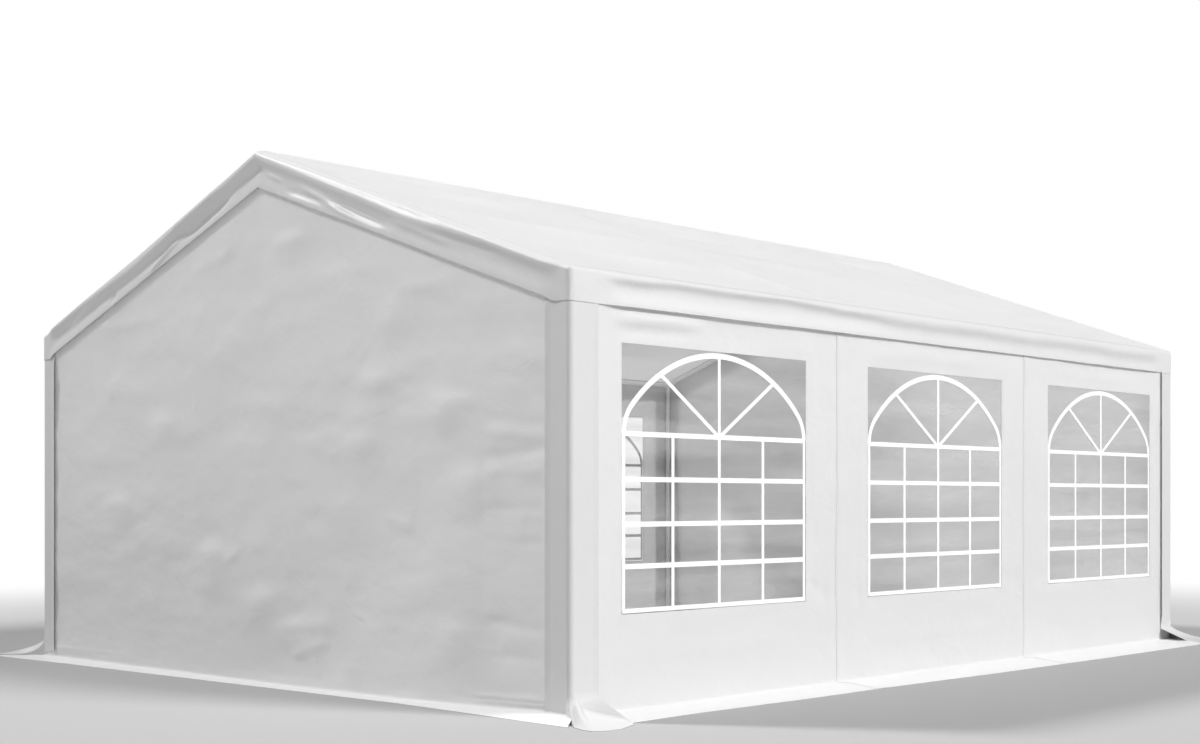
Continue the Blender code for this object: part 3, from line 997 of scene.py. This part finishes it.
def build_gable(end):
    """Plain gable wall with its ground flap."""
    share = np.linspace(-1.0, 1.0, GABLE_COLUMNS + 1)
    u_line = LEG_Y * (COLUMN_CROWD[0] * share - COLUMN_CROWD[1] * share ** 3)
    crease = np.interp(u_line, *GABLE_CREASE)
    width = np.interp(u_line * FLAP_STRETCH, *GABLE_FLAP)
    top = RIDGE_AXIS_Z - ROOF_SLOPE * np.abs(u_line)
    distance = wall_path(width, top - crease, np.linspace(0.0, 1.0, GABLE_ROWS + 1)[1:] ** ROW_CROWD)
    flap = flap_share(distance)
    past = FLAP_PAST_CORNER * flap + FLAP_FLARE * np.clip(-distance, 0.0, None)
    u = u_line + past * np.sign(share) * np.abs(share) ** FLARE_POWER
    out, up = bend_to_ground(distance, width, crease)
    relief = gable_relief(-SIGNS[end] * u, up, SEEDS[end])
    lift = flap_lift(u, distance, width, SEEDS[end] + FLAP_SEED) * flap
    points = on_wall(end, u, up + lift, out + relief * gable_free(u, up, flap))
    piece = grid_piece(f"{end}_gable_cloth", points, np.stack([u, distance], axis=-1),
                       WALL_CLOTH, flap_rows=FLAP_FACES)
    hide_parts(f"{end}_gable_wall", f"{end}_ground_flap")


# Ground flap and crease of the side panels
SIDE_CREASE_Z = 0.018
SIDE_FLAP = ((-2.9, -2.41, -1.67, -0.78, 0.2, 1.4, 2.9),
             (0.247, 0.235, 0.263, 0.268, 0.304, 0.313, 0.308))

# Panels from the left seen from outside: each one laps over the one before it
PANEL_SPANS = ((-END_X, -0.950), (-1.014, 1.060), (0.973, END_X))
PANEL_COLUMNS = 96
PANEL_ROWS = 92
SAME_PLACE = 0.001
HEM_FOLD = 0.014
LAP_LIFT = 0.0024
LAP_LOOSE = 0.0010
LAP_UNEVEN = 0.6
LAP_WIDTH = 0.10
FLAP_LAP = (0.05, 0.12)

# Where a panel's cloth hangs free: from the ground up, from the eave down, from its edge and its window
PANEL_FREE_Z = (0.02, 0.12)
PANEL_TOP = 2.00
PANEL_UNDER_EAVE = 0.12
PANEL_EDGE = 2.93
PANEL_FREE_EDGE = 0.16
WINDOW_HOLD = (-0.005, 0.07)
LAP_FREE_Z = (0.03, 0.10)
LAP_TOP = 2.06
LAP_UNDER_EAVE = 0.10

# Lumps of the panel cloth: height, size
PANEL_LUMPS = (0.005, (0.8, 0.5))
PANEL_CRUMPLES = (0.0018, (0.30, 0.15))

# Creases of the side panels as (start, end, width, height), by bay from the left seen from outside
PANEL_FOLDS = (
    (((-2.86, 1.890), (-2.05, 1.905), 0.034, 0.020), ((-2.80, 1.845), (-2.10, 1.855), 0.026, -0.008),
     ((-1.30, 0.60), (-1.08, 0.50), 0.020, -0.006), ((-2.72, 0.49), (-2.60, 0.60), 0.020, -0.004),
     ((-2.80, 0.30), (-1.10, 0.27), 0.035, 0.004)),
    (((-0.85, 0.47), (-0.70, 0.58), 0.020, -0.006), ((0.80, 0.50), (0.70, 0.60), 0.020, -0.005),
     ((-0.80, 1.86), (0.70, 1.87), 0.030, 0.005), ((-0.70, 0.25), (0.80, 0.24), 0.035, 0.004)),
    (((1.15, 0.48), (1.30, 0.58), 0.020, -0.006), ((1.25, 1.87), (2.70, 1.86), 0.030, 0.005),
     ((1.20, 0.26), (2.60, 0.24), 0.035, 0.004)),
)

# Dimples where the lower ties pull, as (metres to the right, height), with their size and depth
PANEL_DIMPLES = ((-1.114, 0.534), (-0.809, 0.510), (0.875, 0.538), (1.198, 0.527))
DIMPLE_SIZE = (0.045, 0.035)
DIMPLE_DEPTH = 0.006


def panel_relief(u, z, bay, seed):
    """How far a side panel's cloth stands out of its plane."""
    height, size = PANEL_LUMPS
    relief = height * billow(u, z, size, seed)
    height, size = PANEL_CRUMPLES
    relief = relief + height * billow(u, z, size, seed + CRUMPLE_SEED)
    for item in PANEL_FOLDS[bay]:
        relief = relief + fold(u, z, *item)
    for place in PANEL_DIMPLES:
        relief = relief + puff(u, z, place, DIMPLE_SIZE, -DIMPLE_DEPTH)
    return relief


def panel_free(u, z, centre, flap):
    """1 where a panel's cloth is free to billow, 0 where it is held or lies on the ground."""
    above_or_below = np.maximum(WINDOW_BOTTOM - z, z - WINDOW_TOP)
    window = np.maximum(np.abs(u - centre) - WINDOW_HALF, above_or_below)
    free = smooth_step(z, *PANEL_FREE_Z) * smooth_step(PANEL_TOP - z, 0.0, PANEL_UNDER_EAVE) * (1.0 - flap)
    free = free * smooth_step(PANEL_EDGE - np.abs(u), 0.0, PANEL_FREE_EDGE)
    return free * smooth_step(window, *WINDOW_HOLD)


def panel_lap(past_edge, z, seed):
    """How far a panel's free edge stands off the panel before it."""
    upright = smooth_step(z, *LAP_FREE_Z) * smooth_step(LAP_TOP - z, 0.0, LAP_UNDER_EAVE)
    wave = soft_noise(z, z * 0.0, size=(0.22, 1.0), seed=seed)
    lift = LAP_LIFT + LAP_LOOSE * upright * (1.0 + LAP_UNEVEN * wave)
    return lift * (1.0 - smooth_step(past_edge, 0.0, LAP_WIDTH))


def panel_number(side, bay):
    """Number of a panel's CAD nodes, which runs from the front gable on both sides."""
    return bay + 1 if side == "right" else BAYS - bay


def build_panel(side, bay):
    """Side panel with its window opening, its free edge over the panel before it, and its ground flap."""
    left, right = PANEL_SPANS[bay]
    centre = WINDOW_CENTRES[bay]
    u_line = lines_through(left, right, PANEL_COLUMNS,
                           (left + HEM_FOLD, centre - WINDOW_HALF, centre + WINDOW_HALF))
    width = np.interp(u_line, *SIDE_FLAP)
    base = CLOTH + CLEARANCE + SIDE_CREASE_Z
    heights = lines_through(CREASE_RADIUS + base, KNEE_Z, PANEL_ROWS, (WINDOW_BOTTOM, WINDOW_TOP)) - base
    shares = (heights[1:] - CREASE_RADIUS) / (KNEE_Z - base - CREASE_RADIUS)
    distance = wall_path(width, np.full_like(width, KNEE_Z - base), shares)
    u = np.broadcast_to(u_line, distance.shape)
    out, up = bend_to_ground(distance, width, SIDE_CREASE_Z)
    flap = flap_share(distance)
    relief = panel_relief(u, up, bay, SEEDS[side]) * panel_free(u, up, centre, flap)
    lift = flap_lift(u, distance, width, SEEDS[side] + FLAP_SEED) * flap
    if bay > 0:
        relief = relief + panel_lap(u - left, up, SEEDS[side] + LAP_SEED)
        lift = lift + LAP_LIFT * flap * (1.0 - smooth_step(u - left, *FLAP_LAP))
    points = on_wall(side, u, up + lift, out + relief)
    inner = np.abs(u_line - centre) < WINDOW_HALF + SAME_PLACE
    rows_inside = (up[:, 0] > WINDOW_BOTTOM - SAME_PLACE) & (up[:, 0] < WINDOW_TOP + SAME_PLACE)
    cut = (rows_inside[:-1] & rows_inside[1:])[:, None] & (inner[:-1] & inner[1:])[None, :]
    piece = grid_piece(f"{side}_panel_cloth_{bay + 1}", points, np.stack([u, distance], axis=-1),
                       WALL_CLOTH, keep=~cut, flap_rows=FLAP_FACES)
    number = panel_number(side, bay)
    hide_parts(f"{side}_wall_{number}", f"{side}_ground_flap")
    if bay > 0:
        hem = np.flatnonzero(np.isclose(u_line, left + HEM_FOLD))[0]
        seam = points[len(FLAP_SHARES) + CREASE_ROWS:-2, hem]
        stitch_lines(f"{side}_lap_stitches_{bay}", [seam])


# Windows

# Film: how far it reaches past the opening, and how far it lies behind the panel's face
FILM_BORDER = 0.014
FILM_THICKNESS = 0.0008
FILM_BACK = 0.0030
FILM_COLUMNS = 40
FILM_ROWS = 36

# Bars: widths, heights of the level ones, and how far each lies over the one before it
BAR_THICKNESS = 0.0012
BAR_LAYER = 0.0001
BAR_STEPS = 10
BORDER_WIDTH = 0.020
SILL_WIDTH = 0.022
LEVEL_WIDTH = 0.025
UPRIGHT_WIDTH = 0.021
ARCH_WIDTH = 0.028
DIAGONAL_WIDTH = 0.020
SILL_Z = 0.493
LEVELS_Z = (0.706, 0.909, 1.126, 1.345)
BAR_HALF = 0.700
QUARTER = 0.35
DIAGONAL_TIP = (0.43, 1.635)

# Arch over the bars, a wide arc with a tighter one at each end
ARCH_RISE = 0.413
HAUNCH_RADIUS = 0.20
HAUNCH_STEPS = 8
CROWN_STEPS = 16


def build_film(side, bay):
    """Clear film behind the opening, welded to the panel all round."""
    centre = WINDOW_CENTRES[bay]
    half = WINDOW_HALF + FILM_BORDER
    u, z = np.meshgrid(np.linspace(centre - half, centre + half, FILM_COLUMNS + 1),
                       np.linspace(WINDOW_BOTTOM - FILM_BORDER, WINDOW_TOP + FILM_BORDER, FILM_ROWS + 1))
    points = on_wall(side, u, z, -FILM_BACK)
    piece = grid_piece(f"{side}_window_film_{bay + 1}", points, np.stack([u, z], axis=-1),
                       CLEAR_FILM, thickness=FILM_THICKNESS)
    number = panel_number(side, bay)
    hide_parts(f"{side}_window_{number}")


def basket_arch():
    """Points of the window's arch, left to right, from its springing line."""
    inner = BAR_HALF - HAUNCH_RADIUS
    rise = ARCH_RISE - HAUNCH_RADIUS
    below = (inner ** 2 - rise ** 2) / (2 * rise)
    radius = ARCH_RISE + below
    joint = math.atan2(below, inner)
    haunch = [(inner + HAUNCH_RADIUS * math.cos(a), HAUNCH_RADIUS * math.sin(a))
              for a in np.linspace(0.0, joint, HAUNCH_STEPS + 1)]
    crown = [(radius * math.cos(a), radius * math.sin(a) - below)
             for a in np.linspace(joint, math.pi / 2, CROWN_STEPS + 1)[1:]]
    half = haunch + crown
    return [(-x, y) for x, y in half] + [(x, y) for x, y in reversed(half[:-1])]


def window_lines():
    """Centre line and width of each of a window's bars, about its middle, lowest layer first."""
    spring = LEVELS_Z[-1]
    edge = BAR_HALF - BORDER_WIDTH / 2
    sill_top = SILL_Z + SILL_WIDTH / 2
    arch_top = spring + ARCH_RISE - ARCH_WIDTH / 2
    lines = [([(x, spring + y) for x, y in basket_arch()], ARCH_WIDTH)]
    for way in (-1, 1):
        lines.append(([(way * BAR_HALF, spring), (way * BAR_HALF, sill_top)], BORDER_WIDTH))
        lines.append(([(way * QUARTER, sill_top), (way * QUARTER, spring)], UPRIGHT_WIDTH))
        lines.append(([(0.0, spring), (way * DIAGONAL_TIP[0], DIAGONAL_TIP[1])], DIAGONAL_WIDTH))
    lines.append(([(0.0, sill_top), (0.0, arch_top)], UPRIGHT_WIDTH))
    for z in LEVELS_Z:
        lines.append(([(-edge, z), (edge, z)], LEVEL_WIDTH))
    end = BAR_HALF + BORDER_WIDTH / 2
    lines.append(([(-end, SILL_Z), (end, SILL_Z)], SILL_WIDTH))
    return lines


def band(line, width):
    """Both edges of a flat strip of even width along a line of (u, z) points."""
    line = np.array(line, float)
    if len(line) == 2:
        line = np.linspace(line[0], line[1], BAR_STEPS)
    run = np.gradient(line, axis=0)
    run /= np.linalg.norm(run, axis=1)[:, None]
    side = np.stack([-run[:, 1], run[:, 0]], axis=-1) * width / 2
    return line + side, line - side


def build_bars(side, bay):
    """White bars and arch welded on the film, as one piece; each bar lies on the ones before it."""
    centre = WINDOW_CENTRES[bay]
    points = []
    flats = []
    faces = []
    total = 0
    for layer, (line, width) in enumerate(window_lines()):
        edges = np.stack(band(line, width))
        out = -FILM_BACK + BAR_THICKNESS + BAR_LAYER * layer
        points.append(on_wall(side, centre + edges[..., 0], edges[..., 1], out).reshape(-1, 3))
        flats.append(edges.reshape(-1, 2))
        faces += quads(total + np.arange(2 * edges.shape[1]).reshape(2, -1)[::-1])
        total += 2 * edges.shape[1]
    mesh = mesh_from(f"{side}_window_bars_{bay + 1}", np.concatenate(points), faces,
                     np.concatenate(flats))
    mesh.shade_flat()
    mesh.materials.append(WINDOW_BAR)
    add_piece(mesh, BAR_THICKNESS)


# Corner strips, round the corner legs and out on to the ground

# Plan of a strip: how far it stands out from the leg's axis, its wings, and its columns
STRIP_UNDER_COVER = 0.0033
STRIP_OUT = COVER_REACH - STRIP_UNDER_COVER
STRIP_ON_GABLE = 0.168
STRIP_ON_SIDE = 0.179
GABLE_STEPS = 12
ARC_STEPS = 12
SIDE_STEPS = 24

# Rows of a strip above its apron and over it
STRIP_TOP = KNEE_Z - TUBE_RADIUS
STRIP_ROWS = 72
APRON_ROWS = 14

# Free edges of a strip: how far they stand off the wall, less at the near corner, and at what heights
EDGE_LIFT = 0.012
NEAR_EDGE_LIFT = 0.004
EDGE_WIDTH = 0.035
EDGE_TOP = (1.93, 1.99)
EDGE_FOOT = (0.10, 0.20)

# Foot of a strip: it stands over the gable's crease, then settles on the ground over these columns
FOOT_OVER_CREASE = 0.006
SETTLE_COLUMNS = (-3, 1)

# Bend of the apron: how far out and how low it turns, and where along it the cloth is straighter
BEND_OUT = (0.12, 0.38)
BEND_UP = (0.5, 0.4)
STRAIGHT = (0.45, 0.16, 0.09)

# Ground edge of the apron, from the corner to its end on the side: share, metres out of gable and side
APRON_SHARE = (0.0, 0.07, 0.17, 0.32, 0.5, 0.85, 1.0)
APRON_FROM_GABLE = (0.137, 0.165, 0.172, 0.125, 0.03, -0.12, -0.163)
APRON_FROM_SIDE = (0.165, 0.232, 0.310, 0.350, 0.355, 0.29, 0.24)
APRON_TOP = (0.114, 0.100)


def strip_plan():
    """Plan line of a strip where x and y are positive, from its gable edge round to its side edge."""
    gable = [(END_X + STRIP_OUT, y)
             for y in np.linspace(LEG_Y + STRIP_OUT - STRIP_ON_GABLE, LEG_Y, GABLE_STEPS + 1)[:-1]]
    arc = [(END_X + STRIP_OUT * math.cos(a), LEG_Y + STRIP_OUT * math.sin(a))
           for a in np.linspace(0.0, math.pi / 2, ARC_STEPS + 1)]
    side = [(x, LEG_Y + STRIP_OUT)
            for x in np.linspace(END_X, END_X + STRIP_OUT - STRIP_ON_SIDE, SIDE_STEPS + 1)[1:]]
    return np.array(gable + arc + side), len(gable)


def edge_lift(along, z, lift):
    """How far the free edges of a strip stand off the gable and off the side."""
    ease = lift * (1.0 - smooth_step(z, *EDGE_TOP))
    gable = ease * (1.0 - smooth_step(along, 0.0, EDGE_WIDTH))
    side = ease * smooth_step(along, along.max() - EDGE_WIDTH, along.max())
    return gable, side * smooth_step(z, *EDGE_FOOT)


def apron_lines(plan, arc_start, along):
    """Lower edge of a strip, the line that bends its apron, and the apron's upper edge."""
    columns = np.arange(len(plan)) - arc_start
    flare = smooth_step(columns, 0, ARC_STEPS / 2)
    turned_half = along[arc_start + ARC_STEPS // 2]
    share = np.clip((along - turned_half) / (along[-1] - turned_half), 0.0, 1.0)
    top = np.interp(share, (0.0, 1.0), APRON_TOP)
    ground = np.stack([END_X + STRIP_OUT + np.interp(share, APRON_SHARE, APRON_FROM_GABLE),
                       LEG_Y + STRIP_OUT + np.interp(share, APRON_SHARE, APRON_FROM_SIDE)], axis=-1)
    ground = plan + (ground - plan) * flare[:, None]
    crease = np.interp(plan[:, 1], *GABLE_CREASE) + FOOT_OVER_CREASE
    settled = smooth_step(columns, *SETTLE_COLUMNS)
    ground_z = crease * (1.0 - settled) + (CLOTH + CLEARANCE) * settled
    height, place, width = STRAIGHT
    straight = np.maximum(share ** 3, height * np.exp(-((share - place) / width) ** 2))
    lean = BEND_OUT[0] + BEND_OUT[1] * straight
    bend = plan + (ground - plan) * lean[:, None]
    bend_z = ground_z + (top - ground_z) * (BEND_UP[0] - BEND_UP[1] * flare * (1.0 - straight))
    return [np.column_stack(line) for line in ((ground, ground_z), (bend, bend_z), (plan, top))]


def build_strip(end, side):
    """Corner strip: a wing on the gable, the turn round the leg, and a wing with a flared apron."""
    plan, arc_start = strip_plan()
    along = np.append(0.0, np.cumsum(np.linalg.norm(np.diff(plan, axis=0), axis=1)))
    ground, bend, upper = apron_lines(plan, arc_start, along)
    rows = [ground * (1 - t) ** 2 + bend * 2 * t * (1 - t) + upper * t ** 2
            for t in np.linspace(0.0, 1.0, APRON_ROWS + 1)[:-1]]
    rows += [np.column_stack([plan, upper[:, 2] * (1 - t) + STRIP_TOP * t])
             for t in np.linspace(0.0, 1.0, STRIP_ROWS + 1)]
    points = np.stack(rows)
    lift = NEAR_EDGE_LIFT if (end, side) == ("front", "right") else EDGE_LIFT
    lift_gable, lift_side = edge_lift(np.broadcast_to(along, points.shape[:2]), points[..., 2], lift)
    points[..., 0] += lift_gable
    points[..., 1] += lift_side
    height = np.linalg.norm(np.diff(points, axis=0), axis=2)
    fallen = np.concatenate([np.zeros((1, len(plan))), np.cumsum(height, axis=0)]) - height.sum(axis=0)
    flat = np.stack([np.broadcast_to(along, fallen.shape), fallen], axis=-1)
    turn = np.array([SIGNS[end], SIGNS[side], 1.0])
    if SIGNS[end] * SIGNS[side] < 0:
        points = points[:, ::-1]
        flat = flat[:, ::-1]
    points = points * turn
    piece = grid_piece(f"{end}_{side}_corner_cloth", points, flat, STRIP_CLOTH)
    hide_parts(f"{end}_{side}_corner_strip")
    upright = points[APRON_ROWS:-3]
    stitch_lines(f"{end}_{side}_strip_stitches", [upright[:, 2], upright[:, -3]])


# Ties, eyelets and bolts

# Ties lie tight round the legs; each eyelet is this far from its leg, towards the tent's middle
TIE_HEIGHTS = (0.31, 1.29)
TIE_SIZES = {"Loop Radius": TUBE_RADIUS + 0.0022, "Cord Radius": 0.0025, "Ball Radius": 0.0115}
EYELET_SIZES = {"Ring Radius": 0.008, "Wire Radius": 0.0016}
EYELET_AWAY = 0.055

# Bolts go through the connector sleeves, this far from where the tubes meet
BOLT_SIZES = {"Head Radius": 0.0065, "Head Height": 0.009}
SLEEVE_RADIUS = 0.0215
BOLT_PROUD = 0.002
BOLT_AWAY = 0.060


def build_ties():
    """Elastic ties round every leg, and the eyelets in the wall that they pass through."""
    ties = tie_tree()
    eyelets = eyelet_tree()
    for side in ("right", "left"):
        way = SIGNS[side]
        turn = -way * math.pi / 2
        wall_inner = way * (SIDE_FACE - CLOTH - CLEARANCE)
        legs = [(x, way * LEG_Y, z) for x in FRAME_X for z in TIE_HEIGHTS]
        rings = [(x - math.copysign(EYELET_AWAY, x), wall_inner, z) for x, _, z in legs]
        bake_tree(f"{side}_leg_ties", legs, ties, {**TIE_SIZES, "Turn": turn})
        bake_tree(f"{side}_eyelets", rings, eyelets, {**EYELET_SIZES, "Turn": turn})


def build_bolts():
    """Bolt heads on the sleeves of every frame's connectors, on the side that faces the middle."""
    reach = BOLT_AWAY / SLOPE_STRETCH
    rafter = [LEG_Y - reach, MID_Y + reach, MID_Y - reach, reach]
    places = []
    for x in FRAME_X:
        out = x - math.copysign(SLEEVE_RADIUS + BOLT_PROUD, x)
        for way in (-1, 1):
            places.append((out, way * LEG_Y, KNEE_Z - BOLT_AWAY))
            places.extend((out, way * y, RIDGE_AXIS_Z - ROOF_SLOPE * y) for y in rafter)
    bake_tree("connector_bolts", places, bolt_tree(), BOLT_SIZES)


# Floor, sky and light

WHITE = (1.0, 1.0, 1.0, 1.0)
SKY_STRENGTH = 0.15

# Floor: the radius of its innermost and outermost ring, its tone, and where that fades to white
FLOOR_RADII = (2.0, 60.0)
FLOOR_RINGS = 12
FLOOR_STEPS = 96
FLOOR_TONE = 0.45
FLOOR_FADE = (5.0, 12.0)

# Suns: the way towards each one, its strength, and its size in degrees
SUNS = {
    "main_sun": ((0.25, -0.76, 0.60), 2.95, 16.0),
    "gable_sun": ((-0.35, 0.60, 0.72), 2.15, 8.0),
    "corner_sun": ((-0.50, -0.45, 0.74), 0.50, 20.0),
}


def floor_material():
    """Pale matt floor that turns into plain white with distance from the tent."""
    material, tree = new_material("floor")
    away = add_node(tree, "ShaderNodeVectorMath", {0: solid_place(tree)}, operation="LENGTH")
    fade = range_node(tree, away.outputs["Value"], 0.0, 1.0, *FLOOR_FADE, interpolation_type="SMOOTHSTEP")
    paint = add_node(tree, "ShaderNodeBsdfDiffuse", {"Color": (*grey(FLOOR_TONE), 1.0)})
    white = add_node(tree, "ShaderNodeEmission", {"Color": WHITE, "Strength": 1.0})
    finish_material(tree, mix_node(tree, fade, paint.outputs[0], white.outputs[0]))
    return material


def add_floor():
    """Pale round floor that fades to white far away."""
    turns = np.linspace(0.0, 2 * math.pi, FLOOR_STEPS + 1)[:-1]
    radius, turn = np.meshgrid(np.geomspace(*FLOOR_RADII, FLOOR_RINGS), turns, indexing="ij")
    points = np.stack([radius * np.cos(turn), radius * np.sin(turn), np.zeros_like(radius)], axis=-1)
    index = np.arange(radius.size).reshape(radius.shape)
    index = np.column_stack([index, index[:, 0]])
    faces = [face[::-1] for face in quads(index)] + [index[0, :-1].tolist()]
    mesh = bpy.data.meshes.new("floor")
    mesh.from_pydata(points.reshape(-1, 3).tolist(), [], faces)
    mesh.materials.append(floor_material())
    add_object("floor", mesh)


def add_sun(name, toward, strength, angle):
    """Soft sun in a direction."""
    lamp = bpy.data.lights.new(name, "SUN")
    lamp.energy = strength
    lamp.angle = math.radians(angle)
    sun = add_object(name, lamp)
    sun.rotation_euler = Vector(toward).to_track_quat("Z", "Y").to_euler()


def add_sky():
    """Even white sky, dimmer as a light than as it is seen."""
    world = bpy.data.worlds.new("studio")
    bpy.context.scene.world = world
    world.use_nodes = True
    tree = world.node_tree
    tree.nodes.clear()
    seen = add_node(tree, "ShaderNodeLightPath").outputs["Is Camera Ray"]
    light = add_node(tree, "ShaderNodeBackground", {"Color": WHITE, "Strength": SKY_STRENGTH})
    white = add_node(tree, "ShaderNodeBackground", {"Color": WHITE, "Strength": 1.0})
    mixed = mix_node(tree, seen, light.outputs[0], white.outputs[0])
    add_node(tree, "ShaderNodeOutputWorld", {"Surface": mixed})
    bpy.context.scene.view_settings.view_transform = "Standard"


# The scene, and then the tent piece by piece

add_floor()
add_sky()
for name, sun in SUNS.items():
    add_sun(name, *sun)
build_cover()
for end in ("front", "rear"):
    build_gable(end)
    for side in ("right", "left"):
        build_strip(end, side)
for side in ("right", "left"):
    for bay in range(BAYS):
        build_panel(side, bay)
        build_film(side, bay)
        build_bars(side, bay)
build_ties()
build_bolts()
